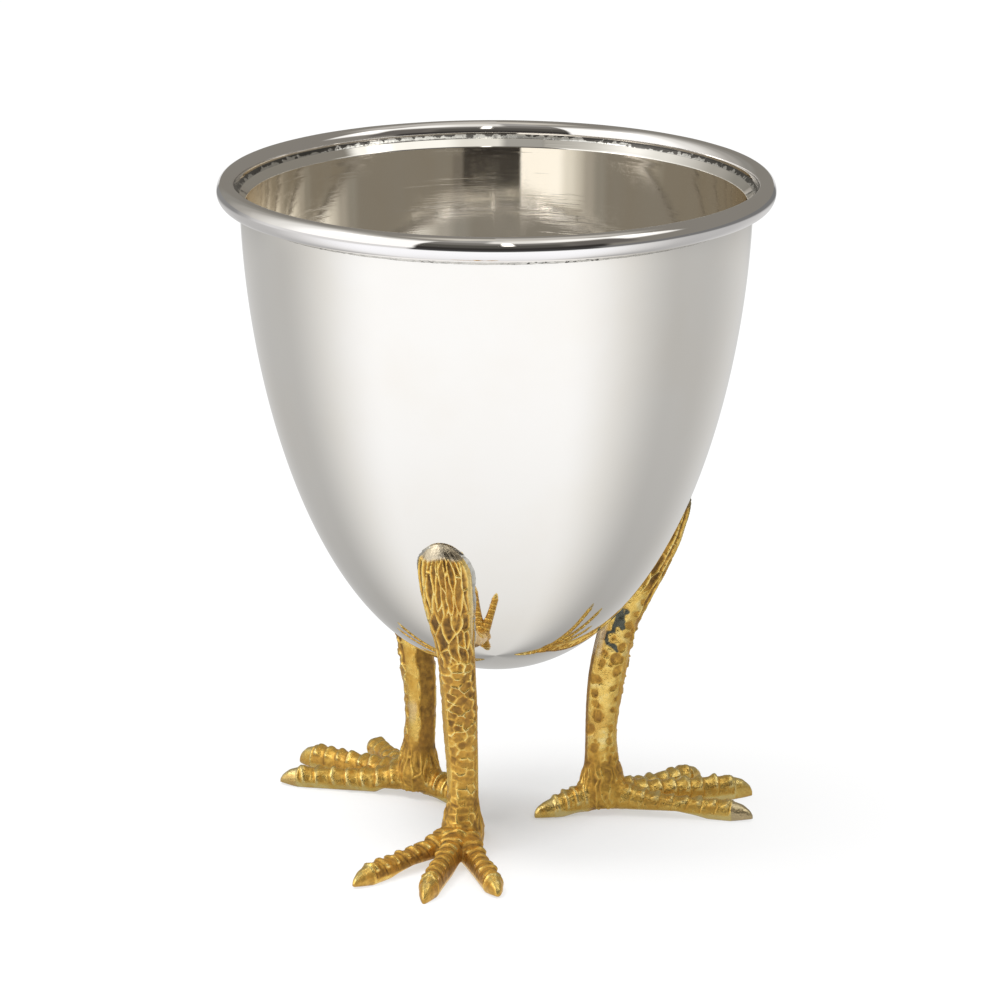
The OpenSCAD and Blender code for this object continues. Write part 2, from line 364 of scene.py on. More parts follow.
class Tree:
    """A short way to build a node tree."""

    def __init__(self, tree):
        self.tree = tree
        self.tree.nodes.clear()

    def add(self, kind, inputs=None, **settings):
        """A node with its settings, and with values or other tree' outputs as its inputs."""
        node = self.tree.nodes.new("ShaderNode" + kind)
        for key, value in settings.items():
            setattr(node, key, value)
        for key, value in (inputs or {}).items():
            if isinstance(value, bpy.types.NodeSocket):
                self.tree.links.new(value, node.inputs[key])
            else:
                node.inputs[key].default_value = value
        return node

    def math(self, operation, a, b=0.0, clamp=False):
        """The result of one Math node."""
        return self.add("Math", {0: a, 1: b}, operation=operation, use_clamp=clamp).outputs[0]

    plus = partialmethod(math, "ADD")
    minus = partialmethod(math, "SUBTRACT")
    times = partialmethod(math, "MULTIPLY")
    most = partialmethod(math, "MAXIMUM")

    def remap(self, value, low, high, to_low=0.0, to_high=1.0, kind="SMOOTHSTEP"):
        """A value moved from one range to another."""
        inputs = dict(enumerate((value, low, high, to_low, to_high)))
        return self.add("MapRange", inputs, interpolation_type=kind).outputs[0]

    def mix(self, factor, a, b, kind="MIX"):
        """Two colours mixed."""
        a, b = [(*colour, 1.0) if isinstance(colour, tuple) else colour for colour in (a, b)]
        return self.add("Mix", {0: factor, 6: a, 7: b}, data_type="RGBA", blend_type=kind).outputs[2]

    def noise(self, vector, scale, detail=4.0, roughness=0.55):
        """Noise from 0 to 1."""
        return self.add("TexNoise", {"Vector": vector, "Scale": scale, "Detail": detail,
                                     "Roughness": roughness}).outputs["Fac"]

    def attribute(self, name):
        """A value that the mesh carries at its points."""
        return self.add("Attribute", attribute_name=name).outputs["Fac"]

    def turned(self, vector, angle):
        """A vector turned round the upright axis."""
        return self.add("VectorRotate", {"Vector": vector, "Angle": angle},
                        rotation_type="Z_AXIS").outputs[0]

    def split(self, vector):
        """The three parts of a vector."""
        return self.add("SeparateXYZ", {0: vector}).outputs

    def azimuth(self, vector):
        """A vector's angle round the upright axis, in degrees from -Y towards +X."""
        x, y, _ = self.split(vector)
        return self.times(self.math("ARCTAN2", x, self.times(y, -1.0)), 180 / math.pi)

    def bump(self, height, strength, distance):
        """The normal of a bumpy surface."""
        return self.add("Bump", {"Height": height, "Strength": strength, "Distance": distance}).outputs[0]

    def metal(self, colour, rough, normal, metallic=1.0):
        """Leads a metal surface to the material's output."""
        shader = self.add("BsdfPrincipled", {"Base Color": colour, "Metallic": metallic,
                                             "Roughness": rough, "Normal": normal})
        self.add("OutputMaterial", {0: shader.outputs[0]})

    def either(self, share, first, second):
        """Two shaders mixed."""
        return self.add("MixShader", {0: share, 1: first, 2: second}).outputs[0]


def new_material(name):
    """An empty material and its tree."""
    material = bpy.data.materials.new(name)
    material.use_nodes = True
    return material, Tree(material.node_tree)


def place_vector(tree, stretch=(1, 1, 1), turn=(0, 0, 0)):
    """The point's place on the object, turned and stretched along the axes."""
    place = tree.add("TexCoord").outputs["Object"]
    return tree.add("Mapping", {"Vector": place, "Rotation": turn, "Scale": stretch}).outputs[0]


def silver_material(name, base, dull, wear):
    """Mirror-polished silver plate: wipe marks, pinpricks, a breath of tarnish, polishing lines inside."""
    material, tree = new_material(name)
    place = place_vector(tree)
    haze = tree.noise(place, 90, 3)
    marks = tree.noise(place_vector(tree, (30, 30, 900)), 4, 6, 0.7)
    pins = tree.noise(place, 1500, 2)
    inside = tree.attribute("inside")
    lines = tree.noise(place_vector(tree, (40, 40, 1400)), 1, 5, 0.65)
    slant = place_vector(tree, (70, 70, 1900), (0.5, 0.3, 0.2))
    scratches = tree.remap(tree.noise(slant, 1, 3, 0.6), 0.56, 0.74)
    tint = tree.mix(tree.remap(haze, 0.35, 0.75), base, dull)
    rough = tree.plus(tree.remap(haze, 0.3, 0.8, wear, wear * 1.8),
                      tree.remap(marks, 0.62, 0.8, 0.0, wear * 1.2))
    rough = tree.plus(rough, tree.times(tree.times(scratches, inside), 0.07))
    height = tree.plus(tree.times(marks, 0.6), tree.remap(pins, 0.72, 0.8, 0.0, -1.0))
    height = tree.plus(height, tree.times(tree.plus(lines, scratches), tree.times(inside, 2.6)))
    tree.metal(tint, rough, tree.bump(height, 0.05, 0.00002))
    return material


def gilding_material():
    """Gilt casting: crests rubbed bright, the brightest paled by a painted highlight, painted glints on the
    toes' rings, recesses matt and brown, the pads' ends worn to a silvery grey.
    """
    material, tree = new_material("gilding")
    place = place_vector(tree)
    cap, stain = tree.attribute("cap"), tree.attribute("stain")
    grain = tree.noise(place, 2600, 4, 0.6)
    blotch = tree.noise(place, 420, 3)
    mottle = tree.noise(place, 1000, 3)
    # The relief values hold rubbed brightness, painted glints and painted light
    height = tree.plus(tree.attribute("relief"), tree.times(tree.minus(grain, 0.5), 0.5))
    height = tree.plus(height, tree.times(tree.minus(mottle, 0.5), 0.4))
    ramp = tree.add("ValToRGB", {"Fac": height})
    elements = ramp.color_ramp.elements
    for element, (position, colour) in zip(elements, (GOLD_AND_PAINTED_HIGHLIGHT_STOPS[0], GOLD_AND_PAINTED_HIGHLIGHT_STOPS[-1])):
        element.position, element.color = position, (*colour, 1)
    for position, colour in GOLD_AND_PAINTED_HIGHLIGHT_STOPS[1:-1]:
        elements.new(position).color = (*colour, 1)
    gold = tree.mix(tree.remap(blotch, 0.42, 0.7, 0.0, 0.35), ramp.outputs["Color"], (0.62, 0.31, 0.06))
    horn = tree.mix(tree.remap(grain, 0.35, 0.65), (0.40, 0.30, 0.10), (0.80, 0.64, 0.28))
    gold = tree.mix(tree.times(tree.attribute("claw"), 0.75), gold, horn)
    gold = tree.mix(cap, gold, tree.mix(blotch, (0.62, 0.50, 0.33), (0.97, 0.88, 0.70)))
    gold = tree.mix(stain, gold, tree.mix(mottle, (0.06, 0.065, 0.045), (0.21, 0.22, 0.18)))
    rough = tree.remap(height, 0.12, 0.95, 0.52, 0.17)
    rough = tree.plus(rough, tree.times(tree.minus(grain, 0.5), 0.18))
    rough = tree.minus(rough, tree.times(cap, 0.16))
    rough = tree.plus(rough, tree.times(stain, 0.15), clamp=True)
    metallic = tree.most(tree.remap(height, 0.1, 0.9, 0.6, 0.9), cap)
    tree.metal(gold, rough, tree.bump(grain, 0.8, 0.00009), metallic)
    return material


def crest_line(edge, half_width):
    """1 on a cell edge, falling off over a half width."""
    return np.exp(-(edge / half_width) ** 2)


def wavy(along, middle, swing, size, seed):
    """An angle that wanders round a middle value along the leg."""
    return middle + swing * noise(np.stack([along, 0 * along, 0 * along], 1), size, seed)


def scale_relief(along, angle, warp_u, warp_v, lumps):
    """Height and brightness of the scales: long cells on the pad, polygons below them, a faint crackle
    further down, a knobbly front and folded sides at the ankle."""
    turn = angle / 360

    def lattice(swing, sway, *shape, lump=0):
        return cells(turn + swing * warp_u + lump * lumps, along + sway * warp_v, *shape)

    upper, _, upper_dice = lattice(0.009, 0.5, 24, 3.3, 2.1, 21)
    lower, _, lower_dice = lattice(0.012, 0.4, 14, 2.7, 2.0, 24, 0.38)
    poly, _, poly_dice = lattice(0.012, 0.15, 10, 1.0, 1.6, 27, 0.30, lump=0.008)
    fine, _, fine_dice = lattice(0.02, 0.2, 11, 0.85, 1.5, 30)
    knob, _, knob_dice = lattice(0.03, 0.25, 14, 0.62, 1.7, 33, 0.42)
    folds, _, _ = lattice(0.03, 0.3, 15, 4.0, 2.1, 45, 0.35)
    is_upper = smooth(25.2, 26.6, along + 0.7 * warp_u)
    pad = smooth(18.8, 20.2, along + 0.6 * warp_u)
    low = 1 - smooth(9.5, 12.5, along + 0.8 * warp_u)
    ankle = 1 - smooth(4.3, 5.2, along)
    front = band(-50, 65, 12, angle)
    on_pad = blend(crest_line(lower, 0.12), crest_line(upper, 0.13), is_upper)
    on_shank = (1 - low) * crest_line(poly, 0.115) + 0.6 * low * crest_line(fine, 0.10)
    crest = blend(on_shank * np.clip(0.62 + 0.95 * lumps, 0, 1), on_pad, pad)
    height = crest * blend(0.18 - 0.07 * low, 0.24, pad) + 0.035 * (1 - pad) * lumps
    tone = blend(blend(poly_dice, fine_dice, low), blend(lower_dice, upper_dice, is_upper), pad) - 0.5
    bright = (blend(0.24 + 0.14 * low, 0.13, pad) + (0.20 + 0.12 * low) * tone
              + 0.15 * lumps + 0.84 * crest)
    knobs = crest_line(knob, 0.11) * front * band(2.3, 4.9, 0.4, along)
    knobs = knobs * np.clip(0.4 + 0.5 * knob_dice + 0.7 * lumps, 0, 1)
    height = blend(height, 0.13 * knobs + 0.06 * lumps, ankle)
    bright = blend(bright, 0.32 + 0.55 * knobs + 0.20 * lumps, ankle)
    fold = crest_line(folds, 0.14) * (1 - smooth(3.4, 4.8, along)) * (1 - front)
    return height + 0.11 * fold, bright + 0.34 * fold


def side_relief(height, bright, along, angle, warp_u, warp_v, lumps):
    """The shank's other sides: columns of pits beside a mould seam, a plain strip, a smooth bright side,
    a flat brown one, and the lines between them."""
    turn = angle / 360
    _, pit, pit_dice = cells(turn + 0.089 + 0.012 * warp_u, along + 0.2 * warp_v, 5, 1.32, 1.6, 36, 0.24)
    _, dot, dot_dice = cells(turn, along, 12, 0.9, 1.6, 39, 0.35)
    size = 0.22 + 0.42 * pit_dice - 0.10 * smooth(17, 20, along)
    pits = 1 - smooth(size - 0.15, size + 0.10, pit + 0.24 * lumps)
    pits = np.maximum(pits, 0.8 * (1 - smooth(0.12, 0.24, dot + 0.05 * lumps)) * (dot_dice > 0.72))
    pitted = band(-166, -50, 6, angle) * band(5.5, 22.5, 1.2, along)
    height = blend(height, 0.11 - 0.10 * pits + 0.02 * lumps, pitted)
    # The pitted plateau is rubbed bright and also painted lighter: partly painted light
    bright = blend(bright, 0.78 - 0.40 * pits + 0.16 * lumps + 0.08 * warp_v, pitted)
    strip = band(-48, -24, 4, angle) * band(5.2, 17.0, 1.0, along)
    height = blend(height, 0.07 + 0.012 * lumps, strip)
    bright = blend(bright, 0.60 + 0.12 * warp_v, strip)
    light = band(88, 133, 6, angle) * band(4.8, 21.0, 1.0, along)
    dark = (band(136, 200, 4, angle) + band(-200, -162, 4, angle)) * band(4.0, 21.0, 1.0, along)
    rest = 1 - light - dark
    height = height * rest + light * (0.08 + 0.03 * warp_v) + dark * 0.02
    bright = bright * rest + light * (0.64 + 0.16 * warp_v + 0.08 * lumps) + dark * (0.26 + 0.10 * lumps)
    for middle, wide, start, end, high, glow, seed in SHANK_LINES:
        line = crest_line(angle - wavy(along, middle, 4, 1.1, seed), wide) * band(start, end, 0.8, along)
        line = line * np.clip(0.65 + 0.7 * lumps, 0, 1)
        height = height + high * line
        bright = np.maximum(bright, glow * line)
    return height, bright


def shank_relief(points, along, angle):
    """Height of the shank's and pad's relief in millimetres, how bright it was rubbed, with painted light on
    the pitted side, where silver shows.
    """
    warp_u, warp_v = noise(points, 1.0, 11), noise(points, 1.3, 12)
    place = (along, angle, warp_u, warp_v, noise(points, 0.5, 13))
    height, bright = side_relief(*scale_relief(*place), *place)
    # The pad's end and a band down its side are smooth, and rubbed to silver at the end
    side_band = band(72, 100, 7, angle) * smooth(20.5, 22.5, along)
    height = blend(height, 0.10, side_band)
    bright = blend(bright, 0.84 + 0.08 * warp_v, side_band)
    total = leg_line(LINE_SAMPLES)[2][-1]
    cap_edge = total - 1.6 + 0.3 * warp_u + 0.45 * np.cos(np.radians(angle - 15))
    cap = smooth(-0.2, 0.25, along - cap_edge)
    height = blend(height, 0.12, cap) + 0.010 * noise(points, 0.35, 31) * (1 - cap)
    return height, bright, np.maximum(cap, 0.14 * side_band)


def stroke(along, angle, path, radius):
    """Distance in millimetres to a path of (angle, length along the leg) drawn on the leg."""
    place = np.stack([np.radians(angle) * radius, along], 1)
    path = np.array([[math.radians(a) * radius, b] for a, b in path])
    best = np.full(len(place), 99.0)
    for start, end in zip(path[:-1], path[1:]):
        step = end - start
        share = np.clip(((place - start) @ step) / (step @ step), 0, 1)
        best = np.minimum(best, np.linalg.norm(place - start - share[:, None] * step, axis=1))
    return best


def stain_and_wear(name, points, along, angle, silver):
    """The dark stain and the silvery wear that only one leg or another has."""
    stain = np.zeros(len(points))
    ragged = noise(points, 0.7, 81) + 0.6 * noise(points, 0.3, 82)
    if name == "right":
        shaken = along + 0.30 * noise(points, 0.55, 83)
        reach = stroke(shaken, angle + 22 * noise(points, 0.6, 84), STAIN_PATH, 1.75) + 0.14 * ragged
        stain = 1 - smooth(0.16, 0.27, reach - 0.20 * smooth(16.8, 18.5, along))
        stain = np.maximum(stain, 0.7 * band(-95, -20, 10, angle) * smooth(30.6, 31.4, along))
        worn = 0.6 * band(-185, -140, 8, angle) * band(15.2, 20.0, 0.5, along + 0.5 * ragged)
        silver = np.maximum(silver, worn)
    if name == "left":
        worn = 0.3 * band(82, 122, 7, angle + 9 * ragged) * band(7.0, 8.9, 0.5, along)
        silver = np.maximum(silver, worn)
    return stain, silver


def solder_material(name, light, dark, pit_share):
    """Silver solder: grey, matt, with small dark pits."""
    material, tree = new_material(name)
    place = place_vector(tree)
    grain = tree.noise(place, 1800, 4, 0.6)
    pits = tree.remap(tree.noise(place, 2600, 2), pit_share, pit_share + 0.06)
    runs = tree.remap(tree.noise(place, 160, 2), 0.45, 0.6)
    level = tree.split(place)[2]
    dressed = tree.remap(level, (EDGE_Z - 0.25) * MM, (EDGE_Z - 0.1) * MM)
    pits = tree.times(pits, tree.times(runs, tree.minus(1.0, dressed)))
    # Inside the mouth the joint is dark and ragged, most of all at its far left and far right
    x = tree.split(tree.turned(place, -CAMERA_TURN))[0]
    side = tree.most(tree.remap(x, -0.015, -0.012, 1.0, 0.0), tree.remap(x, 0.007, 0.010))
    ragged = tree.plus(tree.noise(place, 1300, 3), tree.times(side, 0.11))
    rise = tree.remap(level, (EDGE_Z + 0.02) * MM, (RIM_Z - 0.06) * MM, -0.10, 0.10, "LINEAR")
    gaps = tree.times(tree.remap(tree.plus(rise, ragged), 0.55, 0.60),
                      tree.remap(level, EDGE_Z * MM, (EDGE_Z + 0.05) * MM))
    pits = tree.most(pits, tree.times(gaps, 0.85))
    colour = tree.mix(tree.remap(grain, 0.35, 0.7), light, tuple(0.8 * c for c in light))
    rough = tree.minus(tree.remap(grain, 0.3, 0.7, 0.18, 0.34), tree.times(dressed, 0.12))
    tree.metal(tree.mix(pits, colour, dark), rough, tree.bump(tree.minus(grain, pits), 0.4, 0.00006))
    return material


# The bowl, the rim wire and the seam under it

def build_bowl(material):
    """The spun sheet: its outer skin, its inner skin, and the bevel inside its edge."""
    outer, normal = egg_curve(170)
    inner = outer - WALL_T * normal
    inner[-1] = (0, BOWL_BASE_Z + WALL_T)
    inner = inner[(inner[:, 0] > -1e-6) & (inner[:, 1] < EDGE_Z - BEVEL_H - 0.06)]
    foot, lip = outer[0] - [WALL_T, BEVEL_H], outer[0] - [EDGE_FLAT, 0]
    share = np.array([0, 0.1, 0.4, 0.7, 0.97, 1])[:, None]
    bevel = np.vstack([foot - [0, 0.05], blend(foot, lip, share)])
    obj = turned_piece("silver_bowl", np.vstack([outer, inner[::-1], bevel]), LATHE_SIDES, material)
    inward = (read_normals(obj) * (read_points(obj) - [0, 0, 45])).sum(1) < 0
    write_attribute(obj, "inside", inward.astype(float))
    finish_piece(obj, "bowl")


def build_rim(material):
    """The oval wire, a little uneven from hand finishing."""
    k = np.linspace(0, 2 * math.pi, 72, endpoint=False)
    outline = np.stack([RIM_C + RIM_W / 2 * np.cos(k), RIM_Z + RIM_H / 2 * np.sin(k)], 1)
    inward, upper = np.cos(k)[:, None] < 0, np.sin(k)[:, None] > 0

    def wobble(ring):
        lift, spread = 0.012 * noise(8 * ring, 1.6, 41)[None], 0.014 * noise(8 * ring, 1.2, 42)[None]
        return np.where(inward, spread, -0.01 - abs(spread)), np.where(upper, -abs(lift), lift)

    obj = turned_piece("rim_bead", outline, RIM_SIDES, material, wobble)
    finish_piece(obj, "rim_wire")


def build_seam(material):
    """The solder between the bowl's wall and the wire, uneven along its lower edge."""
    start = np.array([egg_r(np.array(SEAM_Z)), SEAM_Z])
    end = np.array([RIM_C - SEAM_REACH, RIM_Z - RIM_H / 2 + SEAM_RISE])
    share = np.linspace(0, 1, 10)[:, None]
    hollow = np.sin(math.pi * share)
    front = blend(start, end, share) + hollow * [-0.04, 0.06]
    lip = np.array([egg_r(np.array(EDGE_Z)) - EDGE_FLAT, EDGE_Z - 0.01])
    top = blend(np.array([RIM_R - RIM_W, RIM_Z]), lip, np.array([0, 0.33, 0.66, 1])[:, None])
    outline = np.vstack([front, [RIM_C, EDGE_Z], top, start - [WALL_T / 2, 0]])
    # How far each point of the outline may wander
    pull = np.vstack([hollow + 0.5 * (1 - share), np.array([0, 0, 0.5, 0.5, 0, 0])[:, None]])

    def wobble(ring):
        rough = 0.03 * noise(RIM_C * ring, 0.9, 51) + 0.025 * noise(RIM_C * ring, 0.35, 52)
        return pull * rough[None] * 0.6, -pull * rough[None]

    obj = turned_piece("rim_seam", outline, RIM_SIDES * 2, material, wobble)
    finish_piece(obj, "rim_solder_seam")


# The leg casting

def leg_line(samples):
    """The shank's centre line, extended through the dome: stations, tangents and length along it."""
    body = spline(LEG_STATIONS, np.linspace(0, len(LEG_STATIONS) - 1, samples))
    tangent = unit_rows(np.gradient(body[:, :2], axis=0))
    lean = LEG_STATIONS[-1, :2] - LEG_STATIONS[-2, :2]
    lean = lean / np.linalg.norm(lean)
    turn = np.linspace(0, math.radians(86), 24)[1:, None]
    end = LEG_STATIONS[-1]
    dome = np.hstack([end[:2] + lean * DOME_L * np.sin(turn), end[2:4] * np.cos(turn), end[4] + 0 * turn])
    line = np.vstack([body, dome])
    tangent = np.vstack([tangent, np.repeat(lean[None], len(dome), 0)])
    length = np.concatenate([[0], np.cumsum(np.linalg.norm(np.diff(line[:, :2], axis=0), axis=1))])
    return line, tangent, length


def tube(rings):
    """Points and faces of a closed tube through rings of points."""
    count, sides = len(rings), len(rings[0])
    points = np.vstack(rings)
    faces = grid_faces(count, sides)
    faces += [list(range(sides))[::-1], [(count - 1) * sides + k for k in range(sides)]]
    return points, faces


def oval_ring(centre, across, up, half_w, half_h, sides=40, square=2.0, pinch=0.0):
    """A ring of points. A square above 2 makes it boxier, and a pinch narrows its top."""
    a = np.linspace(0, 2 * math.pi, sides, endpoint=False)
    c, s = np.cos(a), np.sin(a)
    c = np.sign(c) * np.abs(c) ** (2 / square)
    s = np.sign(s) * np.abs(s) ** (2 / square)
    return centre + (half_w * c * (1 - pinch * s))[:, None] * across + half_h * s[:, None] * up


def shank_tube():
    """Points and faces of the shank and its pad."""
    rings = []
    for row, t in zip(*leg_line(160)[:2]):
        centre, up = np.array([row[0], row[4], row[1]]), np.array([-t[1], 0, t[0]])
        rings.append(oval_ring(centre, np.array([0, 1.0, 0]), up, row[3], row[2]))
    return tube(rings)


def toe_tube(foot_turn, toe, top, under, side):
    """Points and faces of one toe."""
    length, turn, _, _ = toe
    heading = math.radians(turn + foot_turn)
    out = np.array([math.cos(heading), math.sin(heading), 0])
    across = np.array([-out[1], out[0], 0])
    rings = []
    for share in np.linspace(0, 1, 60):
        high, low = profile(top, share), profile(under, share)
        centre = np.array([LEG_AXIS_R, 0, (high + low) / 2]) + out * length * share
        rings.append(oval_ring(centre, across, np.array([0, 0, 1.0]), profile(side, share), (high - low) / 2,
                               square=TOE_SQUARE, pinch=TOE_PINCH))
    return tube(rings)


def drop_bubbles(obj):
    """Deletes all closed skins but the largest: a remesh can leave a bubble where the toes meet."""
    first, second = edge_ends(obj).T
    label = np.arange(len(obj.data.vertices))
    while (label[first] != label[second]).any():
        low = np.minimum(label[first], label[second])
        np.minimum.at(label, first, low)
        np.minimum.at(label, second, low)
        label = label[label]
    names, sizes = np.unique(label, return_counts=True)
    if len(names) > 1:
        bm = bmesh.new()
        bm.from_mesh(obj.data)
        bm.verts.ensure_lookup_table()
        bubbles = np.flatnonzero(label != names[np.argmax(sizes)]).tolist()
        bmesh.ops.delete(bm, geom=[bm.verts[k] for k in bubbles], context="VERTS")
        bm.to_mesh(obj.data)
        bm.free()


def rough_leg(name, foot_turn, material):
    """The shank and toes as one skin of even small faces."""
    points, faces = shank_tube()
    for toe in TOES:
        more, more_faces = toe_tube(foot_turn, *toe)
        faces += [[k + len(points) for k in face] for face in more_faces]
        points = np.vstack([points, more])
    # The remesh works on sizes of about 1, so the mesh is in millimetres until it is done
    obj = make_object(name, points / MM, faces, material)
    modifier = obj.modifiers.new("skin", "REMESH")
    modifier.mode = "VOXEL"
    modifier.voxel_size = LEG_VOXEL
    skin = bpy.data.meshes.new_from_object(obj.evaluated_get(bpy.context.evaluated_depsgraph_get()))
    old = obj.data
    obj.modifiers.clear()
    obj.data = skin
    bpy.data.meshes.remove(old)
    drop_bubbles(obj)
    skin.transform(Matrix.Scale(MM, 4))
    skin.polygons.foreach_set("use_smooth", [True] * len(skin.polygons))
    skin.materials.clear()
    skin.materials.append(material)
    return obj


def nearest_rows(places, line):
    """For every place, the row of the line that is nearest to it."""
    rows = np.zeros(len(places), dtype=int)
    for start in range(0, len(places), CHUNK):
        part = places[start:start + CHUNK, None] - line[None]
        rows[start:start + CHUNK] = np.argmin((part ** 2).sum(-1), axis=1)
    return rows


def shank_place(points):
    """For points near the shank: length along it, angle round it in degrees, share of its half sizes."""
    line, tangent, length = leg_line(LINE_SAMPLES)
    flat = points[:, [0, 2]]
    nearest = nearest_rows(flat, line[:, :2])
    c, t = line[nearest], tangent[nearest]
    off = flat - c[:, :2]
    out = off[:, 0] * t[:, 1] - off[:, 1] * t[:, 0]
    side = points[:, 1] - c[:, 4]
    ahead = (off * t).sum(1)
    half_t, half_w = np.maximum(c[:, 2], 0.2), np.maximum(c[:, 3], 0.2)
    beyond = np.maximum(0, ahead) * (nearest == len(line) - 1)
    share = (out / half_t) ** 2 + (side / half_w) ** 2 + beyond ** 2
    return length[nearest] + ahead, np.degrees(np.arctan2(side, out)), share


def toe_place(points, foot_turn, toe, top, under, side):
    """For points near a toe: share of its length, sideways offset, height share, share of its half sizes."""
    length, turn, _, _ = toe
    heading = math.radians(turn + foot_turn)
    cos, sin = math.cos(heading), math.sin(heading)
    along, across = ((points[:, :2] - [LEG_AXIS_R, 0]) @ [[cos, -sin], [sin, cos]]).T
    share = np.clip(along / length, 0, 1)
    high, low = profile(top, share), profile(under, share)
    up = (points[:, 2] - (high + low) / 2) / ((high - low) / 2)
    half = profile(side, share) * (1 - TOE_PINCH * np.clip(up, -1, 1))
    outside = np.maximum(0, -along) + np.maximum(0, along - length)
    inside = np.abs(across / half) ** TOE_SQUARE + np.abs(up) ** TOE_SQUARE
    return share, across / half, up, inside ** (2 / TOE_SQUARE) + outside ** 2


def toe_relief(points, toe, share, across, up, seed, raised):
    """Height of a toe's horny rings and claw, how bright they are, rubbed on the crests and with painted
    glints where the rings' tops meet their sides, and where the claw is.
    """
    length, _, count, claw_start = toe
    pitch = length * (claw_start - SCUTE_START) / count
    lumps, rough = noise(points, 0.5, seed + 1), noise(points, 0.22, seed + 5)
    lean = 0.018 * (1 - up) + 0.010 * noise(points, 0.9, seed)
    place = (share - SCUTE_START + lean) / (claw_start - SCUTE_START) * count
    number = np.floor(place).astype(np.int64)
    phase = place - number
    own = dice(number, 0 * number, 0 * number, seed + 3)
    gap = np.minimum(phase, 1 - phase) * pitch
    scutes = smooth(0.08, 0.17, share) * (1 - smooth(claw_start - 0.012, claw_start + 0.004, share))
    on_top = smooth(raised - 0.12, raised + 0.14, up)
    flank = smooth(-0.75, -0.25, up) * (1 - on_top) * crest_line(gap, 0.06)
    ring = smooth(0.15, 0.72, phase) ** 1.5 * (1 - smooth(0.80, 0.99, phase)) * (0.8 + 0.4 * own)
    ring = ring * (0.8 + 0.3 * np.cos(4.2 * across + 6 * own))
    sole = smooth(0.3, 0.75, points[:, 2])
    height = scutes * sole * (on_top * (RING_H * ring + 0.05 * lumps + 0.02 * rough) - 0.05 * flank)
    crest = crest_line(phase - 0.75, 0.13)
    # Painted glints where the rings' tops meet their sides
    painted_glint = crest_line(up - raised - 0.1, 0.16) * crest * np.clip(0.5 + 1.2 * lumps, 0, 1)
    rubbed = on_top * (0.12 + 0.46 * crest * (0.6 + 0.6 * own) - 0.24 * crest_line(gap, 0.10))
    bright = 0.28 + 0.10 * lumps + 0.07 * rough + scutes * (rubbed + 0.60 * painted_glint - 0.20 * flank)
    bright = blend(bright, 0.72 + 0.12 * lumps, 1 - smooth(0.45, 0.8, points[:, 2]))
    claw = smooth(claw_start - 0.004, claw_start + 0.008, share)
    cuticle = crest_line((share - claw_start) * length, 0.13) * smooth(-0.6, 0.1, up)
    height = blend(height, -0.03, claw) + 0.09 * cuticle
    bright = blend(bright, 0.42 + 0.45 * smooth(0.3, 0.95, up) + 0.12 * lumps, claw) + 0.4 * cuticle
    return height, bright, claw


def egg_gap(points):
    """Distance of points outside the bowl's outer skin, and the skin's outward direction there."""
    curve, normal = egg_curve(300)
    r = np.hypot(points[:, 0], points[:, 1])
    gap = np.full(len(points), 99.0)
    direction = np.zeros((len(points), 3))
    close = np.flatnonzero(points[:, 2] > BOWL_BASE_Z - 3)
    flat = np.stack([r, points[:, 2]], 1)[close]
    k = nearest_rows(flat, curve)
    n = normal[k]
    gap[close] = ((flat - curve[k]) * n).sum(1)
    outward = points[close, :2] / np.maximum(r[close], 1e-6)[:, None]
    direction[close] = np.column_stack([n[:, :1] * outward, n[:, 1]])
    return gap, direction


def turn_to_place(obj, number):
    """Turns a piece made along +X to its leg's place."""
    turn = math.radians(-90 + 120 * number + LEG_SWINGS[number])
    obj.data.transform(Matrix.Rotation(turn, 4, "Z"))
    obj.data.update()


def build_leg(number, material):
    """One leg casting, carved, fitted to the bowl and turned to its place."""
    name, foot_turn = LEG_NAMES[number], FOOT_TURNS[number]
    obj = rough_leg("gilt_leg_" + name, foot_turn, material)
    points = read_points(obj)
    along, angle, shank_share = shank_place(points)
    toes = [toe_place(points, foot_turn, *toe) for toe in TOES]
    shares = np.stack([shank_share] + [toe[3] for toe in toes], 1)
    order = np.sort(shares, axis=1)
    junction = 1 - smooth(0.15, 1.4, order[:, 1] - order[:, 0])
    points = relax(points, edge_ends(obj), 0.12 + 0.6 * junction, SMOOTH_ROUNDS)
    write_points(obj, points)
    normals = read_normals(obj)
    weights = np.exp(-(shares - shares.min(1, keepdims=True)) / 0.3)
    weights /= weights.sum(1, keepdims=True)
    height, bright, silver = [part * weights[:, 0] for part in shank_relief(points, along, angle)]
    horn = np.zeros(len(points))
    for k, (raised, horn_share, silver_share) in enumerate(TOE_LOOKS[name]):
        own = weights[:, k + 1]
        h, b, claw = toe_relief(points, TOES[k][0], *toes[k][:3], 60 + 10 * k + 7 * number, raised)
        height += h * own
        # Each foot's toes get that foot's painted light
        bright += (b + TOE_PAINTED_LIGHT[name]) * own
        horn += claw * own * horn_share
        silver += claw * own * silver_share
    # The toes' roots are wrinkled where they meet
    wrinkle = (1 - np.abs(noise(points * [1, 1, 1.6], 0.55, 71))) ** 3
    height += 0.05 * junction * (wrinkle - 0.4) * (along < 4)
    bright += 0.18 * junction * (wrinkle - 0.3) * (along < 4)
    # The construction's skin runs midway between the crests and the recesses
    points = points + normals * (height - 0.06)[:, None]
    points[:, 2] = np.maximum(points[:, 2], 0)
    gap, direction = egg_gap(points)
    points = points + direction * np.maximum(0, LEG_LIFT - gap)[:, None]
    stain, silver = stain_and_wear(name, points, along, angle, silver)
    write_points(obj, points)
    for key, values in (("relief", bright + 0.05 * noise(points, 0.3, 33)), ("claw", horn),
                        ("cap", silver), ("stain", stain)):
        write_attribute(obj, key, values)
    turn_to_place(obj, number)
    finish_piece(obj, "leg_" + name)


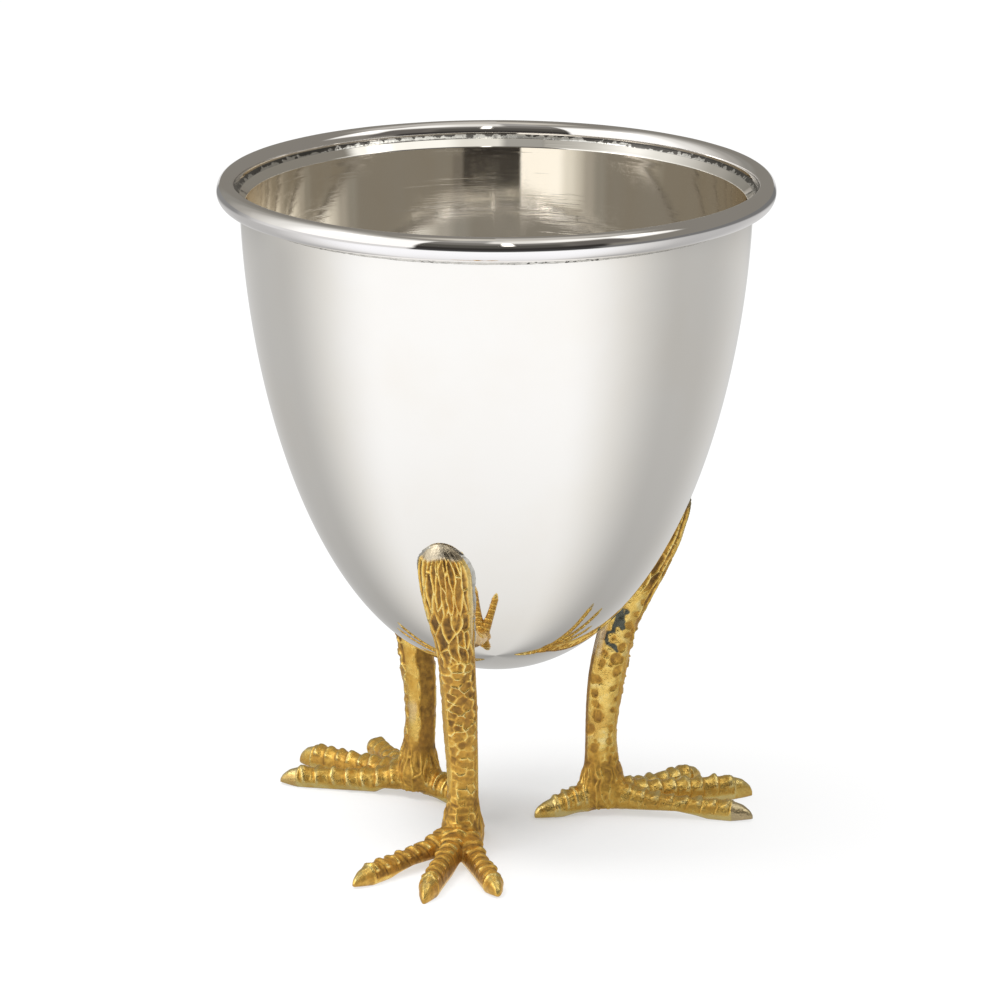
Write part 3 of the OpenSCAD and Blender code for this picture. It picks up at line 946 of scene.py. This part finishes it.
def build_solder(number, material):
    """The solder under a leg's pad: a thin skin on the bowl that thickens towards the pad."""
    name = LEG_NAMES[number]
    z, y = np.meshgrid(np.arange(18.2, 34.2, SOLDER_GRID), np.arange(-4.2, 4.21, SOLDER_GRID), indexing="ij")
    r = egg_r(z)
    turn = y / np.maximum(r, 5)
    base = np.stack([r * np.cos(turn), r * np.sin(turn), z], -1).reshape(-1, 3)
    reach = (np.sqrt(shank_place(base)[2]) - 1) * 2.1
    show = 0.26 + 0.6 * (0.12 * noise(base, 1.3, 90 + number) + 0.07 * noise(base, 0.5, 93 + number))
    rise = np.where(reach < 0, SOLDER_RISE, SOLDER_RISE * np.maximum(0, 1 - reach / show) ** 2)
    rise = np.where(reach > show, -0.06 * np.minimum(1, (reach - show) / 0.2), rise)
    _, direction = egg_gap(base)
    keep = reach < show + 0.3
    quads = [q for q in grid_faces(*z.shape, closed_columns=False) if all(keep[v] for v in q)]
    sides = dict.fromkeys(pair for q in quads for pair in zip(q, q[1:] + q[:1]))
    count = len(base)
    faces = quads + [[v + count for v in reversed(q)] for q in quads]
    faces += [[b, a, a + count, b + count] for a, b in sides if (b, a) not in sides]
    points = np.vstack([base + direction * rise[:, None], base - direction * 0.2])
    obj = make_object("pad_solder_" + name, points, faces, material)
    bm = bmesh.new()
    bm.from_mesh(obj.data)
    bmesh.ops.delete(bm, geom=[v for v in bm.verts if not v.link_faces], context="VERTS")
    bmesh.ops.recalc_face_normals(bm, faces=bm.faces)
    bm.to_mesh(obj.data)
    bm.free()
    turn_to_place(obj, number)
    finish_piece(obj, "solder_" + name)


# The studio

FLOOR_HALF = 2.5
LAMP_AWAY = 0.9
LAMP_SIZE = 0.4
# Azimuths count from the camera's side, positive to its right, and heights from the horizon, in degrees
# Each patch: left edge, its softness, right edge, its softness, lower and upper edge, their softness, colour
STUDIO_BASE = (0.230, 0.216, 0.190)
STUDIO_PATCHES = [
    (-200, 1, 200, 1, 74, 110, 8, (0.62, 0.59, 0.52)),
    (90, 10, 210, 5, 60, 110, 8, (0.52, 0.50, 0.46)),
    (-155, 6, -33, 1.5, -20, 60, 8, (0.27, 0.26, 0.235)),
    (-138, 7, -33, 1.5, -20, 60, 8, (0.38, 0.365, 0.335)),
    (-122, 7, -33, 1.5, -20, 60, 8, (0.57, 0.555, 0.52)),
    (-110, 9, -33, 1.5, -20, 54, 6, (0.80, 0.79, 0.75)),
    (-92, 8, -33, 1.5, -20, 51, 5, (1.09, 1.08, 1.05)),
    (-33, 1.5, 31, 6, 34, 58, 6, (0.19, 0.18, 0.165)),
    (-33, 1.5, 31, 6, 12, 36, 6, (0.09, 0.085, 0.075)),
    (31, 6, 60, 3, 12, 45, 8, (0.13, 0.12, 0.11)),
    (-33, 1.5, 46, 3, -20, 15, 6, (0.035, 0.032, 0.030)),
    (-33, 1.5, 14, 4, 56, 84, 8, (0.36, 0.35, 0.33)),
    (-4, 4, 76, 6, 50, 76, 5, (0.80, 0.785, 0.735)),
    (30, 8, 70, 5, 53, 68, 5, (1.02, 1.01, 0.97)),
    (60, 3, 90, 4, 31, 60, 4, (1.04, 1.03, 0.99)),
    (3, 1, 8, 1, 30, 52, 5, (2.6, 2.5, 2.3)),
    (-78, 4, -58, 4, 26, 44, 4, (3.0, 2.9, 2.75)),
    (68, 3, 80, 3, 40, 52, 4, (2.4, 2.3, 2.15)),
]
# What matt things see, level and overhead
WORLD_FILL = [(0.50, 0.50, 0.50), (0.90, 0.90, 0.89)]
# Degrees from the camera to the painted bright patch that metal sees on the paper, on its left
PAINTED_POOL_TURN = 11.0


def window(tree, value, low, soft_low, high, soft_high):
    """1 between two values, with soft ends."""
    return tree.times(tree.remap(value, low - soft_low, low + soft_low),
                      tree.remap(value, high - soft_high, high + soft_high, 1.0, 0.0))


def build_world():
    """White behind the object. Metal sees soft boxes and dark walls, matt things a pale ceiling."""
    world = bpy.data.worlds.new("studio")
    bpy.context.scene.world = world
    world.use_nodes = True
    # Rays find the studio by themselves, so metal never gets the grey that is meant for matt things
    world.cycles.sampling_method = "NONE"
    tree = Tree(world.node_tree)
    direction = tree.turned(tree.add("TexCoord").outputs["Generated"], -CAMERA_TURN)
    z = tree.split(direction)[2]
    azimuth = tree.azimuth(direction)
    height = tree.times(tree.math("ARCSINE", z), 180 / math.pi)
    colour = tree.mix(0.0, STUDIO_BASE, STUDIO_BASE)
    for left, soft_left, right, soft_right, low, high, soft, patch in STUDIO_PATCHES:
        mask = tree.times(window(tree, azimuth, left, soft_left, right, soft_right),
                          window(tree, height, low, soft, high, soft))
        colour = tree.mix(mask, colour, patch)
    path = tree.add("LightPath").outputs
    fill = tree.mix(tree.remap(z, 0.1, 0.85), *WORLD_FILL)
    seen = tree.mix(path["Is Glossy Ray"], fill, colour)
    clear = tree.most(path["Is Camera Ray"], path["Is Transmission Ray"])
    seen = tree.mix(clear, seen, (1.0, 1.0, 1.0))
    background = tree.add("Background", {"Color": seen, "Strength": 1.0})
    tree.add("OutputWorld", {"Surface": background.outputs[0]})


def floor_material():
    """White paper for the camera. Metal sees a painted reflection on it instead: painted light, brightest in
    front of the cup and greyer at the sides, and a painted shadow close to the feet.
    """
    material, tree = new_material("white_paper_and_painted_reflection")
    place = tree.add("TexCoord").outputs["Object"]
    turned = tree.turned(place, -CAMERA_TURN + math.radians(PAINTED_POOL_TURN))
    azimuth = tree.azimuth(turned)
    off = tree.math("ABSOLUTE", azimuth)
    # A painted bright patch that only metal sees: brightest in front of the cup, greyer at the sides
    painted_pool = tree.plus(tree.remap(off, 40, 100, 1.0, 0.50), tree.remap(off, 115, 165, 0.0, 0.16))
    reach = tree.add("VectorMath", {0: turned}, operation="LENGTH").outputs["Value"]
    # A painted shadow that metal sees on the paper, darkest close to the feet under the cup
    painted_shadow = tree.math("EXPONENT", tree.times(reach, -1 / 0.035))
    level = tree.times(painted_pool, tree.minus(1.0, tree.times(painted_shadow, 0.36)))
    # Beyond that bright patch the rim sees more painted light on the paper: a dark front, a bright left, a
    # grey right and a white back
    around = tree.minus(azimuth, PAINTED_POOL_TURN)
    far = tree.plus(tree.remap(around, -36, -32, 0.72, 0.05), tree.remap(around, 36, 46, 0.0, 0.13))
    far = tree.times(far, tree.remap(around, -135, -100, 0.35, 1.0))
    far = tree.most(far, tree.remap(tree.math("ABSOLUTE", around), 158, 166, 0.0, 0.78))
    beyond = tree.remap(reach, 0.20, 0.33)
    level = tree.plus(tree.times(level, tree.minus(1.0, beyond)), tree.times(far, beyond))
    grain = tree.noise(place, 900, 3)
    paper = tree.mix(grain, (0.90, 0.90, 0.90), (0.93, 0.93, 0.925))
    matt = tree.add("BsdfDiffuse", {"Color": paper, "Normal": tree.bump(grain, 0.05, 0.0001)}).outputs[0]
    white = tree.add("Emission", {"Color": (1, 1, 1, 1), "Strength": 1.0}).outputs[0]
    # The shadow lies under the bowl, and the paper further off is plain white
    plain = tree.plus(tree.remap(reach, 0.0, 0.010, 0.02, 0.50, "LINEAR"),
                      tree.remap(reach, 0.010, 0.034, 0.0, 0.36))
    # Colour of the painted reflection, a little cooler where it is brightest
    tint = tree.mix(tree.remap(level, 0.70, 1.0), (1.0, 0.995, 0.985), (1.01, 1.02, 1.045))
    glow = tree.mix(1.0, tint, level, "MULTIPLY")
    painted_reflection = tree.add("Emission", {"Color": glow, "Strength": 1.0}).outputs[0]
    path = tree.add("LightPath").outputs
    direct = tree.either(path["Is Camera Ray"], matt, tree.either(plain, matt, white))
    # Glossy rays see the painted reflection, glowing as an emission, in place of the lit paper
    tree.add("OutputMaterial", {"Surface": tree.either(path["Is Glossy Ray"], direct, painted_reflection)})
    return material


def build_floor():
    """A large sheet of paper under the cup."""
    size = FLOOR_HALF / MM
    corners = [(-size, -size, 0), (size, -size, 0), (size, size, 0), (-size, size, 0)]
    floor = make_object("paper_floor", corners, [[0, 1, 2, 3]], floor_material())


def build_lamp(name, azimuth, height, power):
    """A soft lamp that faces the cup. Metal sees the studio's soft boxes instead."""
    lamp = bpy.data.lights.new(name, "AREA")
    lamp.energy = power
    lamp.size = LAMP_SIZE
    obj = bpy.data.objects.new(name, lamp)
    bpy.context.scene.collection.objects.link(obj)
    a, h = math.radians(azimuth) + CAMERA_TURN, math.radians(height)
    away = Vector((math.sin(a) * math.cos(h), -math.cos(a) * math.cos(h), math.sin(h)))
    obj.location = Vector((0, 0, 0.03)) + away * LAMP_AWAY
    obj.rotation_euler = away.to_track_quat("Z", "Y").to_euler()
    obj.visible_camera = False
    obj.visible_glossy = False


def build_camera():
    """The camera at the photograph's viewing angle."""
    data = bpy.data.cameras.new("camera")
    data.lens = CAMERA_LENS
    data.sensor_width = 36
    data.clip_start = 0.01
    data.clip_end = 20
    obj = bpy.data.objects.new("camera", data)
    bpy.context.scene.collection.objects.link(obj)
    place = Vector((CAMERA_AWAY * math.sin(CAMERA_PLACE_TURN),
                    -CAMERA_AWAY * math.cos(CAMERA_PLACE_TURN), CAMERA_HEIGHT)) * MM
    obj.matrix_world = (Matrix.Translation(place) @ Matrix.Rotation(CAMERA_TURN, 4, "Z")
                        @ Matrix.Rotation(math.pi / 2 - CAMERA_PITCH, 4, "X")
                        @ Matrix.Rotation(CAMERA_ROLL, 4, "Z"))
    bpy.context.scene.camera = obj


def main():
    """The stage, the materials and the nine pieces of the cup."""
    build_camera()
    build_world()
    build_floor()
    build_lamp("key_lamp", -80, 74, 6.5)
    build_lamp("side_lamp", 60, 70, 2.0)
    scene = bpy.context.scene
    scene.view_settings.view_transform = "Standard"
    scene.cycles.glossy_bounces = 24
    scene.cycles.max_bounces = 28
    gilding = gilding_material()
    pad_solder = solder_material("pad_solder", (0.62, 0.60, 0.54), (0.16, 0.14, 0.10), 0.62)
    build_bowl(silver_material("bowl_silver", (0.975, 0.950, 0.905), (0.96, 0.925, 0.865), 0.02))
    build_rim(silver_material("rim_silver", (0.970, 0.950, 0.945), (0.955, 0.93, 0.915), 0.03))
    build_seam(solder_material("seam_solder", (0.80, 0.79, 0.76), (0.05, 0.045, 0.04), 0.575))
    for number in range(3):
        build_leg(number, gilding)
        build_solder(number, pad_solder)


main()
